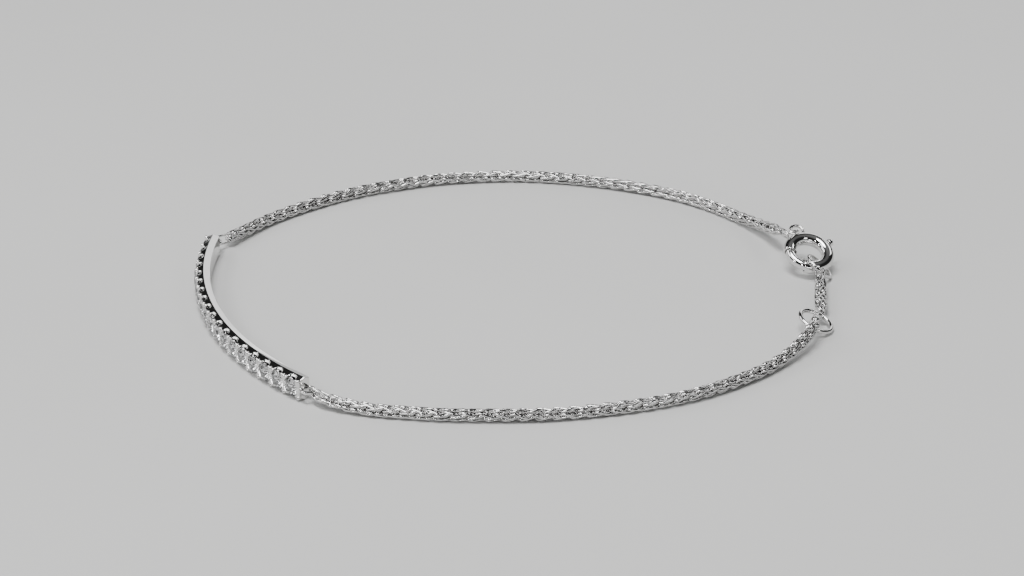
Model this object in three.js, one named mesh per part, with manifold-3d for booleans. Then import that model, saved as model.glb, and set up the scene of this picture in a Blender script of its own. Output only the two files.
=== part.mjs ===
// Diamond bar bracelet, closed on its spring-ring clasp and lying on its side.
// Millimetres, +Z up. The origin is the middle of the loop, on the surface it lies on.
// +X runs from the bar to the clasp, +Y from the short chain to the long chain.
import * as THREE from "three";
import { mergeVertices } from "three/addons/utils/BufferGeometryUtils.js";
import Module from "manifold-3d";

const wasm = await Module();
wasm.setup();

// Driving dimensions --------------------------------------------------------

const BAR = {
  centre: [5.1, 3.4], // of the arc that the bar follows, in plan
  footRadius: 35.15, // of the arc through the feet of the U cuts
  height: 2.24, // between the two flat side walls
  backing: 0.88, // metal behind the feet of the U cuts
  postRise: 0.45, // posts and end caps beyond the feet
  bevelWidth: 0.61, // of the shallow bevel along both edges of the inner face
  bevelDrop: 0.18, // at the inner face
  endCap: 0.17, // plain metal past the middle of the last post at each end
  endChamfer: 0.14, // outer corner of an end cap, in plan
  steps: 46,
};

const STONE = {
  count: 18,
  diameter: 1.7,
  pavilion: 0.73, // depth of the seat under the girdle
  girdleRise: 0.35, // girdle beyond the feet of the U cuts
  firstAngle: 173.55, // degrees round the bar's centre
  pitch: 3.05, // degrees
  clearance: 0.03,
};

const SCALLOP = { radius: 0.6, sides: 20 };
const BEAD = { radius: 0.2, spread: 0.8, sink: 0.06 }; // spread: from the middle of the height

const EYELET = { radius: 0.575, wire: 0.175, reach: 0.5 }; // ring soldered to each end of the bar
const CHAIN = { radius: 0.6, sides: 10, stepLength: 2.0 };
const END_LINK = {
  wire: 0.26, // diameter
  halfWidth: 0.45, // from the middle of the link to the centre line of its wire
  overlap: 0.3, // into the end of the woven chain
  play: 0.12, // between the link's bend and the wire that it holds
  heel: 0.9, // share of the full width, inside the woven chain
  shoulder: 0.75, // start of the bend, as a share of the way past the ring's wire
  shoulderWidth: 0.7, // share of the full width there
  sides: 8,
  steps: 26,
};

const CLASP = {
  centre: [28.52, 4.72, 1.9],
  tiltFar: 21.8, // degrees, lifts the far side
  tiltRight: 10.5, // degrees, lowers the right side
  ring: 1.86, // radius of the tube's centre line
  tube: 0.63,
  bore: 0.51,
  gapInner: [197, 238], // degrees, the mouth at the tube's inner side
  gapOuter: [187, 260], // the mouth flares towards the outside
  slot: [36, 94], // degrees, the trigger's way along the tube
  slotWidth: 0.5,
};

const EYE = { angle: 113.5, distance: 3.0, radius: 0.64, wire: 0.16 };

const BOLT = {
  radius: 0.455,
  from: -176, // degrees, the tip, home in the far side of the mouth
  to: 62, // the tail, past the trigger
  trigger: 42,
  stemRadius: 0.2,
  stemTop: 2.9,
  capRadius: 0.4,
  capBottom: 2.6,
  capTop: 2.95,
};

// Loose rings: middle, the way each one faces, radius of the centre line, wire radius
const RINGS = {
  clasp_jump_ring: { at: [26.85, 6.88, 3.06], faces: [-0.29, 0.43, 0.85], radius: 0.77, wire: 0.16 },
  end_ring: { at: [29.45, 3.28, 1.13], faces: [0.67, 0.04, 0.74], radius: 1.45, wire: 0.16 },
  sizing_ring: { at: [28.05, -8.32, 0.95], faces: [0.4, -0.1, 0.91], radius: 1.59, wire: 0.23 },
};

// Centre line of each stretch of chain, from one end of the woven part to the other
const LONG_CHAIN = [
  [-28.1, 10.3, 0.95], [-26.9, 12.2, 0.75], [-24.6, 15.4, 0.61], [-21.9, 18.1, 0.61],
  [-18.9, 20.5, 0.61], [-15.6, 22.6, 0.61], [-12.0, 24.2, 0.61], [-8.4, 25.5, 0.61],
  [-4.6, 26.2, 0.61], [-0.8, 26.5, 0.61], [3.1, 26.2, 0.61], [6.8, 25.5, 0.61],
  [10.5, 24.4, 0.61], [13.9, 23.0, 0.61], [17.2, 21.1, 0.61], [20.1, 18.7, 0.61],
  [22.7, 15.75, 0.72], [24.85, 12.3, 1.33], [26.0, 9.3, 2.2],
];
const SHORT_CHAIN = [
  [-17.1, -23.5, 0.95], [-15.4, -24.4, 0.8], [-12.5, -25.3, 0.61], [-9.5, -25.8, 0.61],
  [-6.4, -26.2, 0.61], [-3.3, -26.3, 0.61], [-0.1, -26.3, 0.61], [3.1, -26.1, 0.61],
  [6.2, -25.6, 0.61], [9.3, -24.9, 0.61], [12.2, -24.0, 0.61], [15.1, -22.8, 0.61],
  [17.8, -21.3, 0.61], [20.3, -19.5, 0.61], [22.6, -17.5, 0.61], [24.7, -15.2, 0.8],
  [26.4, -13.0, 1.25], [27.55, -10.95, 1.7],
];
const EXTENSION = [
  [28.85, -5.1, 0.95], [28.95, -3.6, 0.75], [29.05, -2.1, 0.72], [29.25, -0.45, 0.88],
];

// Number of flat sides that stand for a round one
const SIDES = {
  smallWire: 8,
  smallRing: 16,
  looseRing: 24,
  tube: 12,
  claspRing: 36,
  bead: 6,
  pin: 12,
  bolt: 10,
};
const WELD = 1e-5; // corners closer than this are one corner

// Tools ---------------------------------------------------------------------

const radians = THREE.MathUtils.degToRad;

function polished(color) {
  return new THREE.MeshStandardMaterial({ color, roughness: 0.12, metalness: 1 });
}

function solid(geometry, matrix = new THREE.Matrix4()) {
  const bare = geometry.clone().applyMatrix4(matrix);
  bare.deleteAttribute("normal");
  bare.deleteAttribute("uv");
  const merged = mergeVertices(bare, WELD);
  return new wasm.Manifold(
    new wasm.Mesh({
      numProp: 3,
      vertProperties: Float32Array.from(merged.attributes.position.array),
      triVerts: Uint32Array.from(merged.index.array),
    }),
  );
}

function meshOf(name, body, color) {
  const { vertProperties, triVerts } = body.getMesh();
  const geometry = new THREE.BufferGeometry();
  geometry.setAttribute("position", new THREE.BufferAttribute(vertProperties, 3));
  geometry.setIndex(new THREE.BufferAttribute(triVerts, 1));
  geometry.computeVertexNormals();
  const mesh = new THREE.Mesh(geometry, polished(color));
  mesh.name = name;
  return mesh;
}

function union(bodies) {
  return bodies.reduce((whole, body) => whole.add(body));
}

function polar(radius, degrees, z = 0) {
  const angle = radians(degrees);
  return new THREE.Vector3(radius * Math.cos(angle), radius * Math.sin(angle), z);
}

function circle(radius, sides) {
  const corners = Array.from({ length: sides }, (_, i) => {
    const corner = polar(radius, (360 * i) / sides);
    return new THREE.Vector2(corner.x, corner.y);
  });
  return new THREE.Shape(corners);
}

function arcPath(radius, from, to, points) {
  const along = Array.from({ length: points }, (_, i) =>
    polar(radius, from + ((to - from) * i) / (points - 1)),
  );
  return new THREE.CatmullRomCurve3(along);
}

// Bar -----------------------------------------------------------------------

const barStart = STONE.firstAngle - STONE.pitch / 2;
const barEnd = barStart + STONE.count * STONE.pitch;
const capAngle = THREE.MathUtils.radToDeg(BAR.endCap / BAR.footRadius);
const postTop = BAR.footRadius + BAR.postRise;
const innerRadius = BAR.footRadius - BAR.backing;
const midHeight = BAR.height / 2;
const stoneAngles = Array.from({ length: STONE.count }, (_, i) => STONE.firstAngle + i * STONE.pitch);
const postAngles = Array.from({ length: STONE.count + 1 }, (_, i) => barStart + i * STONE.pitch);

// Section with the two inner edges bevelled, swept along the arc
function barBlank() {
  const corners = [
    { out: BAR.postRise, up: 0 },
    { out: BAR.postRise, up: BAR.height },
    { out: BAR.bevelWidth - BAR.backing, up: BAR.height },
    { out: -BAR.backing, up: BAR.height - BAR.bevelDrop },
    { out: -BAR.backing, up: BAR.bevelDrop },
    { out: BAR.bevelWidth - BAR.backing, up: 0 },
  ];
  const section = new THREE.Shape(corners.map(({ out, up }) => new THREE.Vector2(-up, -out)));
  const extrudePath = arcPath(BAR.footRadius, barStart - capAngle, barEnd + capAngle, BAR.steps + 1);
  return new THREE.ExtrudeGeometry(section, { steps: BAR.steps, extrudePath });
}

// Takes the outer corner off an end cap; side is -1 at the first stone's end, 1 at the last's
function endChamfer(side) {
  const size = 2 * BAR.height;
  const endAngle = side < 0 ? barStart - capAngle : barEnd + capAngle;
  const diagonal = endAngle + 45 * side;
  const middle = polar(postTop, endAngle, midHeight);
  middle.add(polar((size - Math.SQRT2 * BAR.endChamfer) / 2, diagonal));
  const place = new THREE.Matrix4().makeRotationZ(radians(diagonal)).setPosition(middle);
  return solid(new THREE.BoxGeometry(size, size, size), place);
}

// Round-bottomed cut through both side walls under a stone
function scallop(angle) {
  const cutter = new THREE.CylinderGeometry(SCALLOP.radius, SCALLOP.radius, 2 * BAR.height, SCALLOP.sides);
  const middle = polar(BAR.footRadius + SCALLOP.radius, angle, midHeight);
  const place = new THREE.Matrix4().makeRotationZ(radians(angle)).setPosition(middle);
  return solid(cutter, place.multiply(new THREE.Matrix4().makeRotationX(Math.PI / 2)));
}

// Seat that a stone's pavilion and girdle drop into, opening outwards
function seat(angle) {
  const radius = STONE.diameter / 2 + STONE.clearance;
  const profile = [
    new THREE.Vector2(0, -STONE.pavilion - STONE.clearance),
    new THREE.Vector2(radius, 0),
    new THREE.Vector2(radius, STONE.diameter),
    new THREE.Vector2(0, STONE.diameter),
  ];
  const girdle = polar(BAR.footRadius + STONE.girdleRise, angle, midHeight);
  const up = new THREE.Vector3(0, 0, 1);
  const outward = polar(1, angle);
  const place = new THREE.Matrix4().makeBasis(new THREE.Vector3().crossVectors(outward, up), outward, up);
  return solid(new THREE.LatheGeometry(profile, SIDES.pin), place.setPosition(girdle));
}

// The two beads on each post hold the stones on both sides of it
function beads(angle) {
  return [-1, 1].map((side) => {
    const at = polar(postTop - BEAD.sink, angle, midHeight + side * BEAD.spread);
    return solid(new THREE.SphereGeometry(BEAD.radius, SIDES.bead, 4), new THREE.Matrix4().setPosition(at));
  });
}

// Small closed ring soldered flat to an end cap, for the chain's first link
function eyeletCentre(side) {
  const endAngle = side < 0 ? barStart - capAngle : barEnd + capAngle;
  const middle = polar(BAR.footRadius + (BAR.postRise - BAR.backing) / 2, endAngle, midHeight);
  return middle.add(polar(EYELET.reach, endAngle + 90 * side));
}

function eyelet(side) {
  const ring = new THREE.TorusGeometry(EYELET.radius, EYELET.wire, SIDES.smallWire, SIDES.smallRing);
  return solid(ring, new THREE.Matrix4().setPosition(eyeletCentre(side)));
}

function barSetting() {
  const blank = solid(barBlank());
  const cutters = [-1, 1].map(endChamfer).concat(stoneAngles.map(scallop), stoneAngles.map(seat));
  const cut = cutters.reduce((body, cutter) => body.subtract(cutter), blank);
  return union([cut, ...postAngles.flatMap(beads), eyelet(-1), eyelet(1)]);
}

// Chain ---------------------------------------------------------------------

// Wire hairpin from inside a chain's end round a ring's wire; `over` lifts it clear of what it crosses
function endLink({ base, over, round, ringWire, across }) {
  const from = new THREE.Vector3(...base);
  const crossing = over ? new THREE.Vector3(...over) : from.clone().lerp(round, 0.5);
  const inwards = new THREE.Vector3().subVectors(from, crossing).setLength(END_LINK.overlap).add(from);
  const past = new THREE.Vector3().subVectors(round, crossing);
  past.setLength(ringWire + END_LINK.wire / 2 + END_LINK.play);
  const stations = [
    { middle: inwards, width: END_LINK.heel },
    { middle: crossing, width: 1 },
    { middle: round, width: 1 },
    { middle: round.clone().addScaledVector(past, END_LINK.shoulder), width: END_LINK.shoulderWidth },
  ];
  const arm = (side) =>
    stations.map(({ middle, width }) =>
      middle.clone().addScaledVector(across, side * width * END_LINK.halfWidth),
    );
  const route = [...arm(-1), round.clone().add(past), ...arm(1).reverse()];
  const section = circle(END_LINK.wire / 2, END_LINK.sides);
  const extrudePath = new THREE.CatmullRomCurve3(route);
  return solid(new THREE.ExtrudeGeometry(section, { steps: END_LINK.steps, extrudePath }));
}

function chain(name, route, ends) {
  const curve = new THREE.CatmullRomCurve3(route.map((point) => new THREE.Vector3(...point)));
  const steps = Math.round(curve.getLength() / CHAIN.stepLength);
  const tube = new THREE.ExtrudeGeometry(circle(CHAIN.radius, CHAIN.sides), { steps, extrudePath: curve });
  return meshOf(name, union([solid(tube), ...ends.map(endLink)]), 0xd9dadd);
}

// Rings ---------------------------------------------------------------------

function ringMatrix({ at, faces }) {
  const facing = new THREE.Vector3(...faces).normalize();
  const turn = new THREE.Quaternion().setFromUnitVectors(new THREE.Vector3(0, 0, 1), facing);
  return new THREE.Matrix4().makeRotationFromQuaternion(turn).setPosition(...at);
}

function looseRing(name, ring) {
  const torus = new THREE.TorusGeometry(ring.radius, ring.wire, SIDES.smallWire, SIDES.looseRing);
  return meshOf(name, solid(torus, ringMatrix(ring)), 0xdddee1);
}

// Point on a ring's wire that lies nearest to the direction given, moved along the wire
function wirePoint(name, direction, shift = 0) {
  const ring = RINGS[name];
  const facing = new THREE.Vector3(...ring.faces).normalize();
  const outward = new THREE.Vector3(...direction).projectOnPlane(facing).normalize();
  const alongWire = new THREE.Vector3().crossVectors(facing, outward);
  const point = new THREE.Vector3(...ring.at).addScaledVector(outward, ring.radius);
  return point.addScaledVector(alongWire, shift);
}

// Clasp ---------------------------------------------------------------------

function torus(radius, wire) {
  return solid(new THREE.TorusGeometry(radius, wire, SIDES.tube, SIDES.claspRing));
}

// Flared mouth that the bolt closes, as a prism across the ring
function mouth() {
  const inner = CLASP.ring - CLASP.tube;
  const outer = CLASP.ring + CLASP.tube;
  const middle = (CLASP.gapOuter[0] + CLASP.gapOuter[1]) / 2;
  const corners = [
    polar(inner, CLASP.gapInner[0]),
    polar(outer, CLASP.gapOuter[0]),
    polar(2 * outer, middle),
    polar(outer, CLASP.gapOuter[1]),
    polar(inner, CLASP.gapInner[1]),
    polar(inner / 2, middle),
  ];
  const shape = new THREE.Shape(corners.map(({ x, y }) => new THREE.Vector2(x, y)));
  const prism = new THREE.ExtrudeGeometry(shape, { depth: 4 * CLASP.tube, bevelEnabled: false });
  return solid(prism.translate(0, 0, -2 * CLASP.tube));
}

// Way along the tube's outer side for the trigger's stem
function slot() {
  const [from, to] = CLASP.slot.map(radians);
  const shape = new THREE.Shape();
  shape.absarc(0, 0, CLASP.ring + 2 * CLASP.tube, from, to, false);
  shape.absarc(0, 0, CLASP.ring, to, from, true);
  const band = new THREE.ExtrudeGeometry(shape, {
    depth: CLASP.slotWidth,
    curveSegments: 10,
    bevelEnabled: false,
  });
  return solid(band.translate(0, 0, -CLASP.slotWidth / 2));
}

// Closed ring soldered to the tube, in the clasp's own plane
function eye() {
  const ring = new THREE.TorusGeometry(EYE.radius, EYE.wire, SIDES.smallWire, SIDES.smallRing);
  return solid(ring, new THREE.Matrix4().setPosition(polar(EYE.distance, EYE.angle)));
}

function claspBody() {
  const tube = torus(CLASP.ring, CLASP.tube).add(eye());
  return tube.subtract(torus(CLASP.ring, CLASP.bore)).subtract(mouth()).subtract(slot());
}

// Curved rod with the trigger standing on it, inside the tube
function bolt() {
  const extrudePath = arcPath(CLASP.ring, BOLT.from, BOLT.to, 40);
  const rod = new THREE.ExtrudeGeometry(circle(BOLT.radius, SIDES.bolt), { steps: 30, extrudePath });
  const turn = new THREE.Matrix4().makeRotationZ(radians(BOLT.trigger - 90));
  const spindle = (radius, bottom, top) => {
    const pin = new THREE.CylinderGeometry(radius, radius, top - bottom, SIDES.pin);
    return solid(pin.translate(0, (bottom + top) / 2, 0), turn);
  };
  const stem = spindle(BOLT.stemRadius, CLASP.ring, BOLT.stemTop);
  return union([solid(rod), stem, spindle(BOLT.capRadius, BOLT.capBottom, BOLT.capTop)]);
}

// Assembly ------------------------------------------------------------------

const bar = new THREE.Group();
bar.position.set(...BAR.centre, 0);
bar.add(meshOf("bar_setting", barSetting(), 0xdfe0e3));

// Middle of an eyelet's wire on the side that faces the chain
const eyeletWire = (side, [x, y]) => {
  const centre = eyeletCentre(side).add(bar.position);
  const outward = new THREE.Vector3(x, y, centre.z).sub(centre).setLength(EYELET.radius);
  return centre.add(outward);
};
const vertical = new THREE.Vector3(0, 0, 1);
const links = {
  farEyelet: {
    base: LONG_CHAIN[0],
    round: eyeletWire(-1, LONG_CHAIN[0]),
    ringWire: EYELET.wire,
    across: vertical,
  },
  nearEyelet: {
    base: SHORT_CHAIN[0],
    round: eyeletWire(1, SHORT_CHAIN[0]),
    ringWire: EYELET.wire,
    across: vertical,
  },
  claspRing: {
    base: LONG_CHAIN.at(-1),
    round: wirePoint("clasp_jump_ring", [-0.41, 0.75, -0.51]),
    ringWire: RINGS.clasp_jump_ring.wire,
    across: new THREE.Vector3(...RINGS.clasp_jump_ring.faces).normalize(),
  },
  sizingFromShort: {
    base: SHORT_CHAIN.at(-1),
    over: [27.85, -9.85, 1.84],
    round: wirePoint("sizing_ring", [0.31, 0.95, 0], 0.3),
    ringWire: RINGS.sizing_ring.wire,
    across: new THREE.Vector3(0.6, 0, 0.8),
  },
  sizingFromExtension: {
    base: EXTENSION[0],
    round: wirePoint("sizing_ring", [0.31, 0.95, 0], -0.27),
    ringWire: RINGS.sizing_ring.wire,
    across: new THREE.Vector3(0.4, 0, 0.92).normalize(),
  },
  endRing: {
    base: EXTENSION.at(-1),
    round: wirePoint("end_ring", [-0.1, -1, 0.12]),
    ringWire: RINGS.end_ring.wire,
    across: new THREE.Vector3(0.94, 0, 0.34).normalize(),
  },
};

const clasp = new THREE.Group();
clasp.position.set(...CLASP.centre);
clasp.rotation.set(radians(CLASP.tiltFar), radians(CLASP.tiltRight), 0, "YXZ");
clasp.add(meshOf("clasp_body", claspBody(), 0xe2e3e5), meshOf("clasp_bolt", bolt(), 0xe2e3e5));

const bracelet = new THREE.Group();
bracelet.add(bar, clasp);
bracelet.add(chain("long_chain", LONG_CHAIN, [links.farEyelet, links.claspRing]));
bracelet.add(chain("short_chain", SHORT_CHAIN, [links.nearEyelet, links.sizingFromShort]));
bracelet.add(chain("extension_chain", EXTENSION, [links.sizingFromExtension, links.endRing]));
for (const [name, ring] of Object.entries(RINGS)) {
  bracelet.add(looseRing(name, ring));
}

export default bracelet;
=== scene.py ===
"""Diamond bar bracelet: the set bar, its stones, the woven chains, the rings and the clasp.

Shapes are worked out in millimetres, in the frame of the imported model, and become metres in the
meshes. Angles that are named are in degrees.
"""

import math

import bmesh
import bpy
import numpy as np
from mathutils import Matrix, Vector


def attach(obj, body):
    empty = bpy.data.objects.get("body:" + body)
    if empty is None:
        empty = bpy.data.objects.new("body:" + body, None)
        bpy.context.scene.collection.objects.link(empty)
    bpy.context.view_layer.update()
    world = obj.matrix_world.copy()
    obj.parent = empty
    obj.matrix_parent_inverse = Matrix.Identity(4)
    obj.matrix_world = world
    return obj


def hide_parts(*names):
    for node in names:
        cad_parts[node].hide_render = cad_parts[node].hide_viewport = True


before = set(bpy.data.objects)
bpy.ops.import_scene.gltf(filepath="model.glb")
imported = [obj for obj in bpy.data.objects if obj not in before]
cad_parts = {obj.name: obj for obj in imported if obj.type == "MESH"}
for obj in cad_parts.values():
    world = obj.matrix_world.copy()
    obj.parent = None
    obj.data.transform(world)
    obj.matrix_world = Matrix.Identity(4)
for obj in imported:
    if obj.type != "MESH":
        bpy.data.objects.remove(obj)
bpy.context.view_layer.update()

MM = 0.001
UP = np.array([0.0, 0.0, 1.0])

# Measures of the bar -------------------------------------------------------------------------

BAR_CENTRE = np.array([5.1, 3.4, 0.0])  # of the arc that the bar follows
FOOT = 35.15  # radius of the arc through the feet of the U cuts
BAR_HEIGHT = 2.24  # at the ridge
MID = BAR_HEIGHT / 2
BACKING = 0.88  # metal behind the feet
POST_RISE = 0.45  # posts beyond the feet
BEVEL_WIDTH, BEVEL_DROP = 0.61, 0.18  # bevel along the inner face, up to the ridge
SHOULDER_DROP = 0.2  # from the ridge out to the posts' corners
CLAW = 0.22  # rounding of the posts' outer corners
BACK_STEP = 0.45  # from the middle of the inner face to the section's next point
SHOULDER_STEPS, CLAW_STEPS, FACE_STEPS = 7, 8, 20  # points of the section's other stretches
INNER_EDGE = [(0.0, -0.06), (0.012, -0.02), (0.05, 0.01)]  # softened edges: out and up from each
RIDGE_EDGE = [(-0.04, -0.015), (-0.012, -0.004), (0.012, -0.004)]
END_CAP = 0.17  # plain metal past the last post
CAP_SHARES = np.array([0.12, 0.25, 0.4, 0.55, 0.66, 0.76, 0.84, 0.9, 0.95, 0.985, 1.0])
END_CORNER, END_EDGE = 0.15, 0.07  # rounding of the ends, at the posts and at the other faces
SECTIONS_PER_STONE = 30

STONES = 18
FIRST_ANGLE, PITCH = 173.55, 3.05
STONE_RADIUS = 0.85
GIRDLE_RISE = 0.35  # girdle beyond the feet
PAVILION, CROWN = 0.73, 0.25  # below and above the girdle
GIRDLE = 0.03  # half its thickness
TABLE, KITE, LOWER_MAIN = 0.56, 0.78, 0.22  # shares of the stone's radius
KITE_RISE, MAIN_DROP = 0.47, 0.79  # shares of the crown and of the pavilion
SEAT_RADIUS = STONE_RADIUS + 0.02
SEAT_SINK = 0.03  # seat below the girdle
U_RADIUS = 0.6
RIM = 0.15  # bright chamfer round each U cut
UNCUT = 9.0  # farther out than any metal
BEAD_RADIUS, BEAD_SPREAD, BEAD_SINK = 0.19, 0.8, 0.08

BAR_START = FIRST_ANGLE - PITCH / 2
BAR_END = BAR_START + STONES * PITCH
CAP_ANGLE = math.degrees(END_CAP / FOOT)

EYELET_RADIUS, EYELET_WIRE, EYELET_REACH = 0.575, 0.175, 0.5  # every wire is given by its radius

# Measures of the chains and rings ------------------------------------------------------------

LONG_CHAIN = [
    (-28.1, 10.3, 0.95), (-26.9, 12.2, 0.75), (-24.6, 15.4, 0.61), (-21.9, 18.1, 0.61),
    (-18.9, 20.5, 0.61), (-15.6, 22.6, 0.61), (-12.0, 24.2, 0.61), (-8.4, 25.5, 0.61),
    (-4.6, 26.2, 0.61), (-0.8, 26.5, 0.61), (3.1, 26.2, 0.61), (6.8, 25.5, 0.61),
    (10.5, 24.4, 0.61), (13.9, 23.0, 0.61), (17.2, 21.1, 0.61), (20.1, 18.7, 0.61),
    (22.7, 15.75, 0.72), (24.85, 12.3, 1.33), (26.0, 9.3, 2.2),
]
SHORT_CHAIN = [
    (-17.1, -23.5, 0.95), (-15.4, -24.4, 0.8), (-12.5, -25.3, 0.61), (-9.5, -25.8, 0.61),
    (-6.4, -26.2, 0.61), (-3.3, -26.3, 0.61), (-0.1, -26.3, 0.61), (3.1, -26.1, 0.61),
    (6.2, -25.6, 0.61), (9.3, -24.9, 0.61), (12.2, -24.0, 0.61), (15.1, -22.8, 0.61),
    (17.8, -21.3, 0.61), (20.3, -19.5, 0.61), (22.6, -17.5, 0.61), (24.7, -15.2, 0.8),
    (26.4, -13.0, 1.25), (27.55, -10.95, 1.7),
]
EXTENSION = [(28.85, -5.1, 0.95), (28.95, -3.6, 0.75), (29.05, -2.1, 0.72), (29.25, -0.45, 0.88)]
OVER_SIZING_RING = (27.85, -9.85, 1.84)

LINK_WIRE, END_LINK_WIRE = 0.12, 0.105
LINK_PITCH = 1.47  # between links that face the same way; every other one is turned a quarter
# A quarter of one folded link: along the chain, out to its side, across
LINK_QUARTER = [
    (0.0, 0.0, 0.11), (0.05, 0.3, 0.12), (0.22, 0.46, 0.13), (0.75, 0.42, 0.22),
    (1.25, 0.31, 0.36), (1.7, 0.19, 0.38), (2.05, 0.19, 0.26), (2.25, 0.22, 0.0),
]
LINK_LENGTH = LINK_QUARTER[-1][0]
INNER_LINK = 0.5  # width share of each link's second wire, which lies inside the first
INNER_SHORTER, INNER_START = 0.3, 0.35  # how much less long and how far along such a wire lies
ROUTE_STEP, LINK_STEP, END_LINK_STEP = 0.05, 0.18, 0.12  # along their curves
LINK_SIDES, INNER_SIDES, END_LINK_SIDES = 8, 6, 12  # round their wires
HEEL, ENTRY = 0.75, 0.45  # how deep an end link and its arms start inside the chain
END_LINK_ROOM = 0.12  # between an end link's tip and the ring's wire
TIP = 0.75  # share of the way past the ring at which the arms start to close
ARM_WIDTHS = 0.6, 0.85, 1.0, 0.7  # at the entry, the end of the chain, the ring and the tip

RINGS = {
    "clasp_jump_ring": dict(
        at=(26.85, 6.88, 3.06), faces=(-0.29, 0.43, 0.85), radius=0.77, wire=0.16
    ),
    "end_ring": dict(at=(29.45, 3.28, 1.13), faces=(0.67, 0.04, 0.74), radius=1.45, wire=0.16),
    "sizing_ring": dict(at=(28.05, -8.32, 0.95), faces=(0.4, -0.1, 0.91), radius=1.59, wire=0.23),
}

# Measures of the clasp -----------------------------------------------------------------------

CLASP_PLACE = (
    Matrix.Translation((28.52, 4.72, 1.9))
    @ Matrix.Rotation(math.radians(10.5), 4, "Y")
    @ Matrix.Rotation(math.radians(21.8), 4, "X")
)
RING, TUBE, WALL = 1.86, 0.63, 0.12
TUBE_SIDES, TUBE_STEPS = 40, 120
BOLT_SIDES, BOLT_STEPS = 24, 70
CLASP_RIM = 0.03  # softened edges
MOUTH_INNER, MOUTH_OUTER = (197, 238), (187, 260)  # at the tube's inner and outer side
SLOT_FROM, SLOT_TO, SLOT_WIDTH = 36, 94, 0.5
EYE_ANGLE, EYE_DISTANCE, EYE_RADIUS, EYE_WIRE = 113.5, 3.0, 0.64, 0.16
EYE_SWEEP = 139  # to each side of its outermost point, where it is soldered into the wall
BOLT_RADIUS, BOLT_FROM, BOLT_TO = 0.455, -176, 62
TRIGGER_ANGLE = 42
POLE = 1e-4  # radius at the closed end of a turned part
# Trigger from inside the bolt out to its flat top: radius, height
TRIGGER = [
    (POLE, 1.6), (0.2, 1.6), (0.2, 2.6), (0.35, 2.6), (0.39, 2.63), (0.4, 2.68), (0.4, 2.87),
    (0.38, 2.92), (0.33, 2.95), (0.15, 2.95), (POLE, 2.95),
]

# Measures of the studio ----------------------------------------------------------------------

CAMERA_TILT = 25.5
CAMERA_DISTANCE = 282.9
CAMERA_TARGET = Vector((-0.205, -3.35, 2.0))
CAMERA_LENS, CAMERA_SENSOR, CAMERA_NEAR = 105.47, 36, 0.01  # the last in metres
FLOOR_RADIUS, FLOOR_SIDES = 2500.0, 96
# Brightness of the surroundings: pale low down, dark above the horizon, softly bright overhead
SKY = [(0.0, 0.4), (0.5, 0.75), (0.55, 0.6), (0.59, 0.02), (0.86, 0.02), (0.94, 0.15), (1.0, 0.25)]
# Flat lights, which face the bracelet: name, place and size in metres, watts
LAMPS = [
    ("overhead", (-0.06, -0.08, 0.5), (0.3, 0.2), 3.1),
    ("left_card", (-0.4, 0.13, 0.27), (0.36, 0.2), 0.8),
    ("high_left_card", (-0.32, -0.12, 0.37), (0.22, 0.16), 0.5),
    ("right_card", (0.33, -0.3, 0.24), (0.12, 0.12), 0.2),
    ("back_right_card", (0.13, 0.453, 0.167), (0.32, 0.26), 0.4),
    ("high_right_card", (0.3, 0.25, 0.32), (0.14, 0.12), 0.2),
    ("front_card", (0.12, -0.55, 0.1), (0.2, 0.08), 0.2),
    ("left_spark", (-0.33, -0.3, 0.3), (0.03, 0.03), 0.2),
    ("front_spark", (-0.1, -0.42, 0.22), (0.03, 0.03), 0.2),
    ("low_spark", (-0.42, -0.26, 0.12), (0.03, 0.03), 0.16),
]


# Finishes ------------------------------------------------------------------------------------

# Patterns, in cycles per metre
HANDLING = 260.0  # clouds of wear on the metal
PAINTED_FIRE = 900.0  # painted fire: faint bluish clouds in the stones, standing in for their coloured glints of split light
BOARD_CLOUDS, BOARD_TOOTH = 18.0, 2600.0


class Value:
    """A number on its way through a finish; sums on it add Math nodes."""

    def __init__(self, finish, socket):
        self.finish, self.socket = finish, socket

    def __add__(self, other):
        return self.finish.node("Math", {0: self, 1: other}, operation="ADD")

    def __mul__(self, other):
        return self.finish.node("Math", {0: self, 1: other}, operation="MULTIPLY")

    __radd__, __rmul__ = __add__, __mul__


class Finish:
    """Node tree of a material or of the surroundings."""

    def __init__(self, owner, output="OutputMaterial"):
        owner.use_nodes = True
        self.owner, self.tree = owner, owner.node_tree
        self.tree.nodes.clear()
        self.end = self.tree.nodes.new("ShaderNode" + output)

    def node(self, kind, sockets=None, out=0, stops=None, **settings):
        made = self.tree.nodes.new("ShaderNode" + kind)
        for name, value in settings.items():
            setattr(made, name, value)
        for number, (position, colour) in enumerate(stops or []):
            ramp = made.color_ramp.elements
            stop = ramp[number] if number < 2 else ramp.new(position)
            stop.position, stop.color = position, colour
        for name, value in (sockets or {}).items():
            if isinstance(value, Value):
                self.tree.links.new(value.socket, made.inputs[name])
            else:
                made.inputs[name].default_value = value
        return Value(self, made.outputs[out])

    def noise(self, scale, detail=3, roughness=0.5):
        """Cloudy values from 0 to 1; scale is in cycles per metre."""
        at = self.node("TexCoord", out="Object")
        sockets = {"Vector": at, "Scale": scale, "Detail": detail, "Roughness": roughness}
        return self.node("TexNoise", sockets)

    def mix(self, share, low, high):
        return self.node("Mix", {0: share, 6: low, 7: high}, out=2, data_type="RGBA")

    def bump(self, height, strength, distance):
        return self.node("Bump", {"Strength": strength, "Distance": distance, "Height": height})

    def principled(self, **sockets):
        """Finishes the tree; a socket's name has underscores for its spaces."""
        named = {name.replace("_", " "): value for name, value in sockets.items()}
        return self.done(self.node("BsdfPrincipled", named))

    def done(self, shader):
        self.tree.links.new(shader.socket, self.end.inputs["Surface"])
        return self.owner


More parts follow.
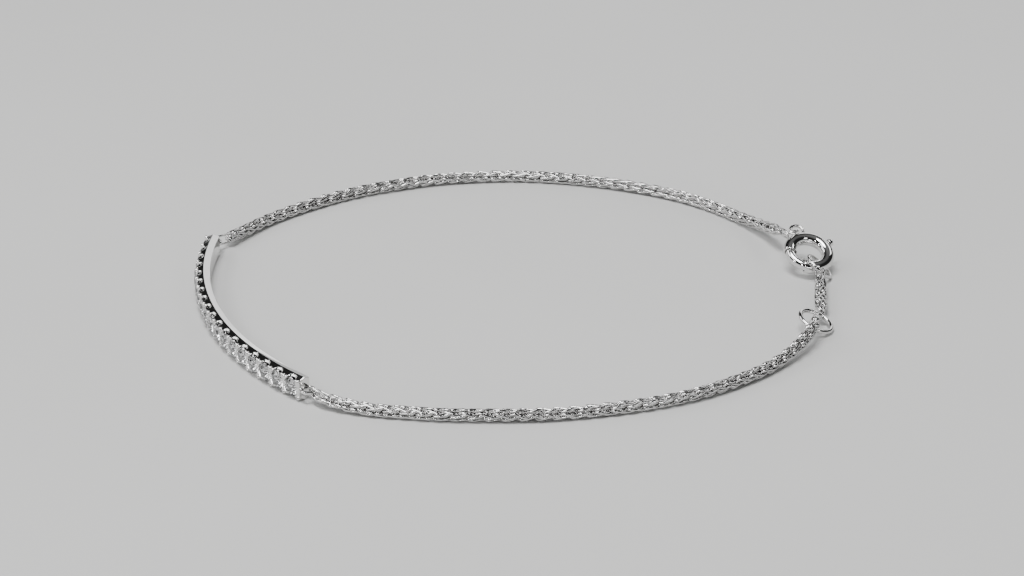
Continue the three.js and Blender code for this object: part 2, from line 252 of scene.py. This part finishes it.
def gold(name, light, dark, gloss, wear, grain):
    """Rhodium-plated white gold. gloss is its roughness where it is freshly polished, wear what
    handling adds, and grain the size in metres of the polishing marks."""
    finish = Finish(bpy.data.materials.new(name))
    cloud = finish.noise(HANDLING)
    marks = finish.noise(1.0 / grain, detail=4, roughness=0.65)
    return finish.principled(
        Base_Color=finish.mix(cloud, dark, light),
        Metallic=1.0,
        Roughness=gloss + wear * marks * cloud,
        Normal=finish.bump(marks, strength=0.12, distance=4e-6),
    )


def diamond():
    finish = Finish(bpy.data.materials.new("diamond"))
    # Painted fire: faint bluish clouds in the base colour stand in for the stones' coloured glints
    # of split light.
    cloud = finish.noise(PAINTED_FIRE, detail=1)
    colour = finish.mix(cloud, (0.96, 0.965, 0.98, 1), (1.0, 1.0, 1.0, 1))
    return finish.principled(Base_Color=colour, Roughness=0.0, IOR=2.417, Transmission_Weight=1.0)


def floor_finish():
    finish = Finish(bpy.data.materials.new("pale_board"))
    cloud = finish.noise(BOARD_CLOUDS)
    tooth = finish.noise(BOARD_TOOTH)
    return finish.principled(
        Base_Color=finish.mix(cloud, (0.54, 0.54, 0.535, 1), (0.58, 0.58, 0.575, 1)),
        Roughness=0.55,
        Normal=finish.bump(tooth, strength=0.15, distance=2e-5),
    )


# Studio --------------------------------------------------------------------------------------

def shown(name, data):
    """Object of this name, placed in the scene."""
    made = bpy.data.objects.new(name, data)
    bpy.context.scene.collection.objects.link(made)
    return made


def place_camera():
    tilt = math.radians(CAMERA_TILT)
    camera = shown("camera", bpy.data.cameras.new("camera"))
    away = Vector((0, -math.cos(tilt), math.sin(tilt)))
    camera.location = (CAMERA_TARGET + CAMERA_DISTANCE * away) * MM
    camera.rotation_euler = (math.pi / 2 - tilt, 0, 0)
    camera.data.lens = CAMERA_LENS
    camera.data.sensor_width = CAMERA_SENSOR
    camera.data.clip_start = CAMERA_NEAR
    bpy.context.scene.camera = camera


def surroundings():
    world = bpy.data.worlds.new("studio")
    bpy.context.scene.world = world
    finish = Finish(world, "OutputWorld")
    direction = finish.node("TexCoord", out="Generated")
    height = finish.node("SeparateXYZ", {0: direction}, out="Z")
    stops = [(position, (level, level, level, 1)) for position, level in SKY]
    colour = finish.node("ValToRGB", {0: height * 0.5 + 0.5}, stops=stops)
    finish.done(finish.node("Background", {"Color": colour, "Strength": 1.0}))


def lamp(name, at, size, power):
    data = bpy.data.lights.new(name, "AREA")
    data.shape = "RECTANGLE"
    data.size, data.size_y = size
    data.energy = power
    made = shown(name, data)
    made.location = at
    made.rotation_euler = (-Vector(at)).to_track_quat("-Z", "Y").to_euler()


def floor():
    edge = polar(FLOOR_RADIUS, np.linspace(0, 360, FLOOR_SIDES, endpoint=False))
    corners = np.array([(0, 0, 0)] + edge.tolist()) * MM
    faces = [[0, 1 + k, 1 + (k + 1) % FLOOR_SIDES] for k in range(FLOOR_SIDES)]
    mesh = bpy.data.meshes.new("floor")
    mesh.from_pydata(corners.tolist(), [], faces)
    mesh.materials.append(floor_finish())
    made = shown("floor", mesh)


# Mesh tools: a part is a pair of its corners and its faces -----------------------------------

WELD, SLIVER = 2e-7, 1e-7  # metres
CURVE_STEPS = 24  # between two points that a curve passes through


def joined(parts):
    corners, faces, count = [], [], 0
    for part_corners, part_faces in parts:
        corners.append(np.asarray(part_corners, float))
        faces.extend([[index + count for index in face] for face in part_faces])
        count += len(part_corners)
    return np.concatenate(corners), faces


def piece(name, part, finish, body="root", replaces=(), crease=40, place=None):
    """Object from a part. Edges sharper than crease stay sharp; 0 keeps every face flat."""
    corners, faces = part
    mesh = bpy.data.meshes.new(name)
    mesh.from_pydata(np.asarray(corners).tolist(), [], [list(face) for face in faces])
    if place is not None:
        mesh.transform(place)
    mesh.transform(Matrix.Scale(MM, 4))
    work = bmesh.new()
    work.from_mesh(mesh)
    bmesh.ops.remove_doubles(work, verts=work.verts, dist=WELD)
    bmesh.ops.dissolve_degenerate(work, edges=work.edges, dist=SLIVER)
    bmesh.ops.recalc_face_normals(work, faces=work.faces)
    work.to_mesh(mesh)
    work.free()
    if crease:
        mesh.shade_smooth()
        mesh.set_sharp_from_angle(angle=math.radians(crease))
    mesh.materials.append(finish)
    made = shown(name, mesh)
    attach(made, body)
    if replaces:
        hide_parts(*replaces)
    return made


def unit(vectors):
    vectors = np.asarray(vectors, float)
    return vectors / np.linalg.norm(vectors, axis=-1, keepdims=True)


def polar(radius, degrees, z=0.0):
    angle = np.radians(degrees)
    return np.stack(np.broadcast_arrays(radius * np.cos(angle), radius * np.sin(angle), z), -1)


def grid_faces(rows, columns, around_rows=False):
    """Quads between the closed rings of a swept section."""
    return [
        [
            row * columns + column,
            row * columns + (column + 1) % columns,
            (row + 1) % rows * columns + (column + 1) % columns,
            (row + 1) % rows * columns + column,
        ]
        for row in range(rows if around_rows else rows - 1)
        for column in range(columns)
    ]


def end_faces(rows, columns):
    """The two faces that close such a sweep."""
    last = (rows - 1) * columns
    return [list(range(columns))[::-1], list(range(last, last + columns))]


def lengths(path):
    """Distance along a path to each of its points."""
    return np.concatenate([[0], np.cumsum(np.linalg.norm(np.diff(path, axis=0), axis=1))])


def resampled(at, knots, points):
    return np.stack([np.interp(at, knots, points[:, axis]) for axis in range(3)], 1)


def smooth_curve(points, spacing, closed=False):
    """Centripetal curve through the points, at even steps of about `spacing`."""
    points = np.asarray(points, float)
    if closed:
        knots = np.concatenate([points[-1:], points, points[:2]])
    else:
        before, after = 2 * points[0] - points[1], 2 * points[-1] - points[-2]
        knots = np.concatenate([[before], points, [after]])
    fine = []
    for four in zip(knots, knots[1:], knots[2:], knots[3:]):
        steps = [math.sqrt(np.linalg.norm(q - p)) for p, q in zip(four, four[1:])]
        times = np.cumsum([0] + steps)
        t = np.linspace(times[1], times[2], CURVE_STEPS, endpoint=False)[:, None]

        def between(p, q, low, high):
            return p + (q - p) * (t - times[low]) / (times[high] - times[low])

        ab, bc, cd = (between(four[k], four[k + 1], k, k + 1) for k in range(3))
        fine.append(between(between(ab, bc, 0, 2), between(bc, cd, 1, 3), 1, 2))
    fine = np.concatenate(fine + [points[:1] if closed else points[-1:]])
    length = lengths(fine)
    count = max(3, round(length[-1] / spacing)) + 1
    curve = resampled(np.linspace(0, length[-1], count), length, fine)
    return curve[:-1] if closed else curve


def side_frames(path, closed):
    """Two directions square to the path at each point, carried along it without twist."""
    if closed:
        along = unit(np.roll(path, -1, 0) - np.roll(path, 1, 0))
    else:
        along = unit(np.gradient(path, axis=0))
    side = unit(np.cross(along[0], UP if abs(along[0][2]) < 0.9 else np.array([1.0, 0, 0])))
    sides = []
    for direction in along:
        side = unit(side - direction * (side @ direction))
        sides.append(side)
    sides = np.array(sides)
    return along, sides, np.cross(along, sides)


def wire(path, radius, sides, closed=True):
    """Round wire along a path; an open one has rounded tips."""
    path = np.asarray(path, float)
    along, first, second = side_frames(path, closed)
    radius = np.full(len(path), float(radius))
    if closed:
        start = first[0] - along[-1] * (first[0] @ along[-1])
        gap = math.atan2(start @ second[-1], start @ first[-1])
        turn = np.linspace(0, gap, len(path), endpoint=False)[:, None]
        sine, cosine = np.sin(turn), np.cos(turn)
        first, second = cosine * first + sine * second, cosine * second - sine * first
    else:
        tip_radius, tip_reach = np.array([0.97, 0.78, 0.42]), [0.25, 0.62, 0.9]
        head = [path[-1] + along[-1] * radius[-1] * reach for reach in tip_reach]
        tail = [path[0] - along[0] * radius[0] * reach for reach in tip_reach]
        path = np.concatenate([tail[::-1], path, head])
        first, second = (np.concatenate([v[:1]] * 3 + [v] + [v[-1:]] * 3) for v in (first, second))
        radius = np.concatenate([radius[0] * tip_radius[::-1], radius, radius[-1] * tip_radius])
    angles = np.linspace(0, 2 * math.pi, sides, endpoint=False)[:, None]
    section = first[:, None] * np.cos(angles) + second[:, None] * np.sin(angles)
    corners = (path[:, None] + radius[:, None, None] * section).reshape(-1, 3)
    faces = grid_faces(len(path), sides, around_rows=closed)
    return corners, faces if closed else faces + end_faces(len(path), sides)


def turned(profile, sides):
    """Profile of (radius, height) points turned round the Z axis."""
    profile = np.asarray(profile, float)
    angles = np.linspace(0, 2 * math.pi, sides, endpoint=False)
    ring = np.stack([np.cos(angles), np.sin(angles)], 1)
    heights = np.broadcast_to(profile[:, None, 1:], (len(profile), sides, 1))
    corners = np.concatenate([profile[:, None, :1] * ring, heights], 2)
    return corners.reshape(-1, 3), grid_faces(len(profile), sides)


def moved(part, matrix):
    corners, faces = part
    matrix = np.array(matrix, float)
    return np.asarray(corners) @ matrix[:3, :3].T + matrix[:3, 3], faces


def facing(direction, at=(0, 0, 0), spin=0.0):
    """Matrix that turns +Z towards a direction and moves the origin to a point."""
    turn = Vector(direction).to_track_quat("Z", "Y").to_matrix().to_4x4()
    return Matrix.Translation(Vector(at)) @ turn @ Matrix.Rotation(spin, 4, "Z")


def ring_wire(radius, thickness, steps=56, sides=16):
    """Closed ring of wire round the Z axis."""
    return wire(polar(radius, np.linspace(0, 360, steps, endpoint=False)), thickness, sides)


# Bar: a section is given by (out, up) points, measured from the feet and from the floor ------

def bar_section(outer, inset):
    """Half of a closed section, from the middle of the inner face over the top to the middle of
    the outer face; inset is taken off the inner face and the walls at the ends of the bar."""
    top, back = BAR_HEIGHT - inset, inset - BACKING
    ridge, edge, corner = BEVEL_WIDTH - BACKING, top - BEVEL_DROP, top - SHOULDER_DROP
    wall_end = outer - CLAW
    points = [(back, MID), (back, MID + BACK_STEP)]
    points += [(back + out, edge + up) for out, up in INNER_EDGE]
    points += [(ridge + out, top + up) for out, up in RIDGE_EDGE]
    for k in range(1, SHOULDER_STEPS):
        out = ridge + (wall_end - ridge) * k / SHOULDER_STEPS
        points.append((out, top + (corner - top) * k / SHOULDER_STEPS))
    for a in np.linspace(0, math.pi / 2, CLAW_STEPS + 1):
        points.append((wall_end + CLAW * math.sin(a), corner - CLAW + CLAW * math.cos(a)))
    for k in range(1, FACE_STEPS + 1):
        points.append((outer, corner - CLAW + (MID - corner + CLAW) * k / FACE_STEPS))
    return np.array(points)


def cut_depth(offset, up):
    """How far out the metal reaches at a place along a stone's pitch, between U cut and seat."""
    across = abs(offset)
    reach = np.full(np.shape(up), UNCUT)
    if across < U_RADIUS:
        foot = U_RADIUS - math.sqrt(U_RADIUS**2 - across**2)
        from_rim = MID - SHOULDER_DROP / 2 - np.abs(up - MID)
        reach = foot - np.clip(RIM - from_rim, 0, RIM)
    distance = np.hypot(across, up - MID)
    seat = GIRDLE_RISE - SEAT_SINK - PAVILION * (1 - distance / SEAT_RADIUS)
    return np.minimum(reach, np.where(distance < SEAT_RADIUS, seat, UNCUT))


def rounding(radius, to_end):
    """What a rounded edge takes off at a distance from the end."""
    return radius - math.sqrt(radius**2 - max(radius - to_end, 0) ** 2)


def bar_body():
    steps = range(STONES * SECTIONS_PER_STONE + 1)
    along = [BAR_START + k * PITCH / SECTIONS_PER_STONE for k in steps]
    cap = CAP_ANGLE * CAP_SHARES
    rows = []
    for angle in [*(BAR_START - cap[::-1]), *along, *(BAR_END + cap)]:
        beyond = max(BAR_START - angle, angle - BAR_END, 0)
        to_end = max(math.radians(CAP_ANGLE - beyond) * FOOT, 0)
        half = bar_section(POST_RISE - rounding(END_CORNER, to_end), rounding(END_EDGE, to_end))
        mirror = half[::-1][1:-1] * (1, -1) + (0, BAR_HEIGHT)
        section = np.concatenate([half, mirror])
        number = min(max(round((angle - FIRST_ANGLE) / PITCH), 0), STONES - 1)
        offset = math.radians(angle - FIRST_ANGLE - number * PITCH) * (FOOT + GIRDLE_RISE)
        if beyond == 0 or abs(offset) < SEAT_RADIUS:
            section[:, 0] = np.minimum(section[:, 0], cut_depth(offset, section[:, 1]))
        rows.append(polar(FOOT + section[:, 0], angle, section[:, 1]))
    count, columns = len(rows), len(rows[0])
    return np.concatenate(rows), grid_faces(count, columns) + end_faces(count, columns)


def bar_beads():
    profile = [
        (max(BEAD_RADIUS * math.sin(a), POLE), -BEAD_RADIUS * math.cos(a))
        for a in np.linspace(0, math.pi, 13)
    ]
    bead = turned(profile, sides=20)
    parts = []
    for post in range(STONES + 1):
        angle = BAR_START + post * PITCH
        for side in (-1, 1):
            at = polar(FOOT + POST_RISE - BEAD_SINK, angle, MID + side * BEAD_SPREAD)
            parts.append(moved(bead, facing(polar(1.0, angle), at)))
    return parts


def eyelet_centre(side):
    """side is -1 at the end that holds the long chain, and 1 at the other."""
    end = BAR_START - CAP_ANGLE if side < 0 else BAR_END + CAP_ANGLE
    middle = FOOT + (POST_RISE - BACKING) / 2
    return polar(middle, end, MID) + polar(EYELET_REACH, end + 90 * side)


def eyelet(side):
    place = Matrix.Translation(eyelet_centre(side))
    return moved(ring_wire(EYELET_RADIUS, EYELET_WIRE, steps=40, sides=14), place)


def brilliant():
    """Round brilliant, table up, girdle round the origin."""
    corners, faces = [(0, 0, CROWN + GIRDLE), (0, 0, -PAVILION - GIRDLE)], []

    def ring(radius, height, count, first):
        start = len(corners)
        for k in range(count):
            a = math.radians(first + 360 * k / count)
            corners.append((radius * math.cos(a), radius * math.sin(a), height))
        return [start + k for k in range(count)]

    top = ring(TABLE * STONE_RADIUS, CROWN + GIRDLE, 8, 22.5)
    kite = ring(KITE * STONE_RADIUS, GIRDLE + CROWN * KITE_RISE, 8, 0)
    upper = ring(STONE_RADIUS, GIRDLE, 16, 0)
    lower = ring(STONE_RADIUS, -GIRDLE, 16, 0)
    main = ring(LOWER_MAIN * STONE_RADIUS, -GIRDLE - PAVILION * MAIN_DROP, 8, 22.5)
    faces.append(top)
    for k in range(8):
        n = (k + 1) % 8
        here, half, after = 2 * k, 2 * k + 1, (2 * k + 2) % 16
        faces.append([top[k - 1], kite[k], top[k]])
        faces.append([top[k], kite[k], upper[half]])
        faces.append([top[k], upper[half], kite[n]])
        faces.append([kite[k], upper[here], upper[half]])
        faces.append([kite[n], upper[half], upper[after]])
        faces.append([main[k], lower[half], lower[here]])
        faces.append([main[k], lower[after], lower[half]])
        faces.append([main[k - 1], main[k], lower[here]])
        faces.append([1, main[k], main[k - 1]])
    for k in range(16):
        n = (k + 1) % 16
        faces.append([upper[k], lower[k], lower[n], upper[n]])
    return np.array(corners, float), faces


def stones():
    spins = np.radians(np.random.default_rng(18).uniform(0, 45, STONES))
    parts = []
    for number in range(STONES):
        angle = FIRST_ANGLE + number * PITCH
        at = polar(FOOT + GIRDLE_RISE, angle, MID)
        parts.append(moved(brilliant(), facing(polar(1.0, angle), at, spins[number])))
    return parts


# Chains --------------------------------------------------------------------------------------

def link_path(width):
    """One folded link: out along one side of its first lobe, back along the other, and the same
    for the second lobe. Below the full width it is shorter too, and lies inside a full one."""
    less = 1 - width
    quarter = np.array(LINK_QUARTER) * (1 - INNER_SHORTER * less, width, width)
    quarter = quarter + (INNER_START * less, 0, 0)
    out_right = quarter
    back_right = quarter[::-1][1:] * (1, 1, -1)
    out_left = quarter[1:] * (1, -1, -1)
    back_left = quarter[::-1][1:-1] * (1, -1, 1)
    around = np.concatenate([out_right, back_right, out_left, back_left])
    return smooth_curve(around, LINK_STEP, closed=True)


def weave(route, widths, tapers, roll_from, roll_turns):
    """Links of a woven chain along a route, every other one turned a quarter. widths are the
    shares of the full width that the chain narrows to at its two ends, tapers the lengths that
    this takes, and the roll is where the links face at the start and how often they turn."""
    curve = smooth_curve(route, ROUTE_STEP)
    _, side, over = side_frames(curve, closed=False)
    length = lengths(curve)
    whole = length[-1]
    count = int((whole - LINK_LENGTH) / (LINK_PITCH / 2)) + 1
    step = (whole - LINK_LENGTH) / (count - 1)
    stops = [0, tapers[0], whole - tapers[1], whole]
    wires = (link_path(1.0), LINK_SIDES), (link_path(INNER_LINK), INNER_SIDES)
    parts = []
    for number in range(count):
        for local, sides in wires:
            at = number * step + local[:, 0]
            middle, right, above = (resampled(at, length, v) for v in (curve, side, over))
            roll = np.radians(roll_from + roll_turns * 360 * at / whole + 90 * (number % 2))
            sine, cosine = np.sin(roll)[:, None], np.cos(roll)[:, None]
            u, v = cosine * right + sine * above, cosine * above - sine * right
            width = np.interp(at, stops, [widths[0], 1, 1, widths[1]])[:, None]
            path = middle + width * (local[:, 1:2] * u + local[:, 2:] * v)
            parts.append(wire(path, LINK_WIRE, sides))
    return parts


def end_link(base, round_at, ring_thickness, across, half_width):
    """Closed link from inside a chain's end round a ring's wire."""
    base, round_at, across = (np.asarray(v, float) for v in (base, round_at, across))
    way = unit(round_at - base)
    heel, entry = base - HEEL * way, base - ENTRY * way
    past = (ring_thickness + END_LINK_WIRE + END_LINK_ROOM) * way
    stations = entry, base, round_at, round_at + TIP * past
    out, back = (
        [at + side * width * half_width * across for at, width in zip(stations, ARM_WIDTHS)]
        for side in (-1, 1)
    )
    path = [heel, *out, round_at + past, *back[::-1]]
    return wire(smooth_curve(path, END_LINK_STEP, closed=True), END_LINK_WIRE, END_LINK_SIDES)


def wire_point(name, direction, shift=0.0):
    """Point on a ring's wire that lies nearest to a direction, moved along the wire."""
    ring = RINGS[name]
    faces = unit(ring["faces"])
    outward = np.asarray(direction, float)
    outward = unit(outward - faces * (outward @ faces))
    return np.asarray(ring["at"]) + outward * ring["radius"] + np.cross(faces, outward) * shift


def eyelet_point(side, towards):
    """Point on an eyelet's wire that lies nearest to a place."""
    centre = eyelet_centre(side) + BAR_CENTRE
    outward = np.array([towards[0], towards[1], centre[2]]) - centre
    return centre + unit(outward) * EYELET_RADIUS


def chain_end(holds, half_width, across, reach, width, taper, ring=None, over=()):
    """One end of a chain: what its link holds, that link's half width and the way across it, how
    far the woven part reaches towards it, the width it narrows to and the length that this
    takes, the ring if it holds one, and points that the route passes on the way."""
    return dict(
        holds=holds, half_width=half_width, across=across, reach=reach, width=width, taper=taper,
        thickness=RINGS[ring]["wire"] if ring else EYELET_WIRE, over=list(over),
    )


def chain(route, ends, roll):
    route, links = list(route), []
    for end in ends:
        route = route[::-1] + end["over"]
        last = np.asarray(route[-1], float)
        route.append(tuple(last + end["reach"] * unit(np.asarray(end["holds"]) - last)))
        links.append(end_link(
            route[-1], end["holds"], end["thickness"], end["across"], end["half_width"]
        ))
    widths, tapers = ([end[key] for end in ends] for key in ("width", "taper"))
    return joined(links + weave(route, widths, tapers, *roll))


# Clasp ---------------------------------------------------------------------------------------

def clasp_tube():
    """Outer skin of the hollow ring, open at the flared mouth and at the trigger's slot; its wall
    is added inwards afterwards."""
    angles = np.linspace(0, 2 * math.pi, TUBE_SIDES, endpoint=False)
    distance = RING + TUBE * np.cos(angles)

    def mouth_edge(which):
        inner = polar(RING - TUBE, MOUTH_INNER[which])
        outer = polar(RING + TUBE, MOUTH_OUTER[which])
        line = inner + (outer - inner) * np.linspace(0, 1, 60)[:, None]
        reach = np.hypot(line[:, 0], line[:, 1])
        turn = np.degrees(np.unwrap(np.arctan2(line[:, 1], line[:, 0]))) % 360
        return np.interp(distance, reach, turn)

    low, high = mouth_edge(0), mouth_edge(1) - 360
    rows = []
    for row in range(TUBE_STEPS + 1):
        at = polar(distance, high + (low - high) * row / TUBE_STEPS)
        at[:, 2] = TUBE * np.sin(angles)
        rows.append(at)
    corners = np.concatenate(rows)
    half_slot = math.asin(SLOT_WIDTH / 2 / TUBE)

    def in_slot(face):
        middle = corners[face].mean(0)
        turn = math.degrees(math.atan2(middle[1], middle[0]))
        across = math.atan2(middle[2], np.hypot(middle[0], middle[1]) - RING)
        return SLOT_FROM < turn < SLOT_TO and abs(across) < half_slot

    return corners, [face for face in grid_faces(len(rows), TUBE_SIDES) if not in_slot(face)]


def clasp_eye():
    angles = np.linspace(EYE_ANGLE - EYE_SWEEP, EYE_ANGLE + EYE_SWEEP, 40)
    path = polar(EYE_DISTANCE, EYE_ANGLE) + polar(EYE_RADIUS, angles)
    return wire(path, EYE_WIRE, sides=14, closed=False)


def clasp_bolt():
    path = polar(RING, np.linspace(BOLT_FROM, BOLT_TO, BOLT_STEPS))
    rod = wire(path, BOLT_RADIUS, BOLT_SIDES, closed=False)
    trigger = moved(turned(TRIGGER, sides=28), facing(polar(1.0, TRIGGER_ANGLE)))
    return joined([rod, trigger])


# Making --------------------------------------------------------------------------------------

place_camera()
surroundings()
for settings in LAMPS:
    lamp(*settings)
floor()

bar_gold = gold("bar_gold", (0.8, 0.795, 0.785, 1), (0.72, 0.715, 0.71, 1), 0.035, 0.08, 2.2e-4)
chain_gold = gold("chain_gold", (0.7, 0.695, 0.69, 1), (0.42, 0.417, 0.415, 1), 0.06, 0.1, 9e-5)
ring_gold = gold("ring_gold", (0.74, 0.735, 0.73, 1), (0.62, 0.615, 0.61, 1), 0.05, 0.1, 1.4e-4)
clasp_gold = gold("clasp_gold", (0.78, 0.775, 0.77, 1), (0.68, 0.675, 0.67, 1), 0.04, 0.09, 1.8e-4)

to_bar = Matrix.Translation(Vector(BAR_CENTRE))
bar = joined([bar_body(), *bar_beads(), eyelet(-1), eyelet(1)])
piece("setting_bar", bar, bar_gold, replaces=["bar_setting"], crease=20,
      place=to_bar)
piece("round_stones", joined(stones()), diamond(), crease=0, place=to_bar)

long_chain = chain(LONG_CHAIN, roll=(20, 0.9), ends=[
    chain_end(eyelet_point(-1, LONG_CHAIN[0]), 0.42, UP, reach=-1.0, width=0.7, taper=1.6),
    chain_end(wire_point("clasp_jump_ring", (-0.41, 0.75, -0.51)), 0.4,
              unit(RINGS["clasp_jump_ring"]["faces"]), reach=0.5, width=0.8, taper=1.6,
              ring="clasp_jump_ring"),
])
short_chain = chain(SHORT_CHAIN, roll=(60, 0.6), ends=[
    chain_end(eyelet_point(1, SHORT_CHAIN[0]), 0.42, UP, reach=0.7, width=0.8, taper=1.6),
    chain_end(wire_point("sizing_ring", (0.31, 0.95, 0), 0.3), 0.26, (0.6, 0, 0.8), reach=1.7,
              width=0.3, taper=3.4, ring="sizing_ring", over=[OVER_SIZING_RING]),
])
extension_chain = chain(EXTENSION, roll=(45, 0.05), ends=[
    chain_end(wire_point("sizing_ring", (0.31, 0.95, 0), -0.27), 0.3, unit((0.4, 0, 0.92)),
              reach=1.0, width=0.5, taper=1.2, ring="sizing_ring"),
    chain_end(wire_point("end_ring", (-0.1, -1, 0.12)), 0.42, unit((0.94, 0, 0.34)), reach=1.5,
              width=0.85, taper=1.6, ring="end_ring"),
])
for which, part in ("long", long_chain), ("short", short_chain), ("extension", extension_chain):
    piece(which + "_woven_chain", part, chain_gold,
          replaces=[which + "_chain"], crease=65)

for node, ring in RINGS.items():
    part = moved(ring_wire(ring["radius"], ring["wire"]), facing(ring["faces"], ring["at"]))
    piece(node.replace("_ring", "_wire_ring"), part, ring_gold, replaces=[node])

tube = piece("clasp_tube", clasp_tube(), clasp_gold, replaces=["clasp_body"],
             crease=35, place=CLASP_PLACE)
wall = tube.modifiers.new("wall", "SOLIDIFY")
wall.thickness, wall.offset, wall.use_even_offset = WALL * MM, -1, True
rims = tube.modifiers.new("rims", "BEVEL")
rims.width, rims.segments = CLASP_RIM * MM, 2
rims.limit_method, rims.angle_limit = "ANGLE", math.radians(50)
piece("clasp_eye", clasp_eye(), clasp_gold, place=CLASP_PLACE)
piece("clasp_pin", clasp_bolt(), clasp_gold, body="bolt",
      replaces=["clasp_bolt"], place=CLASP_PLACE)
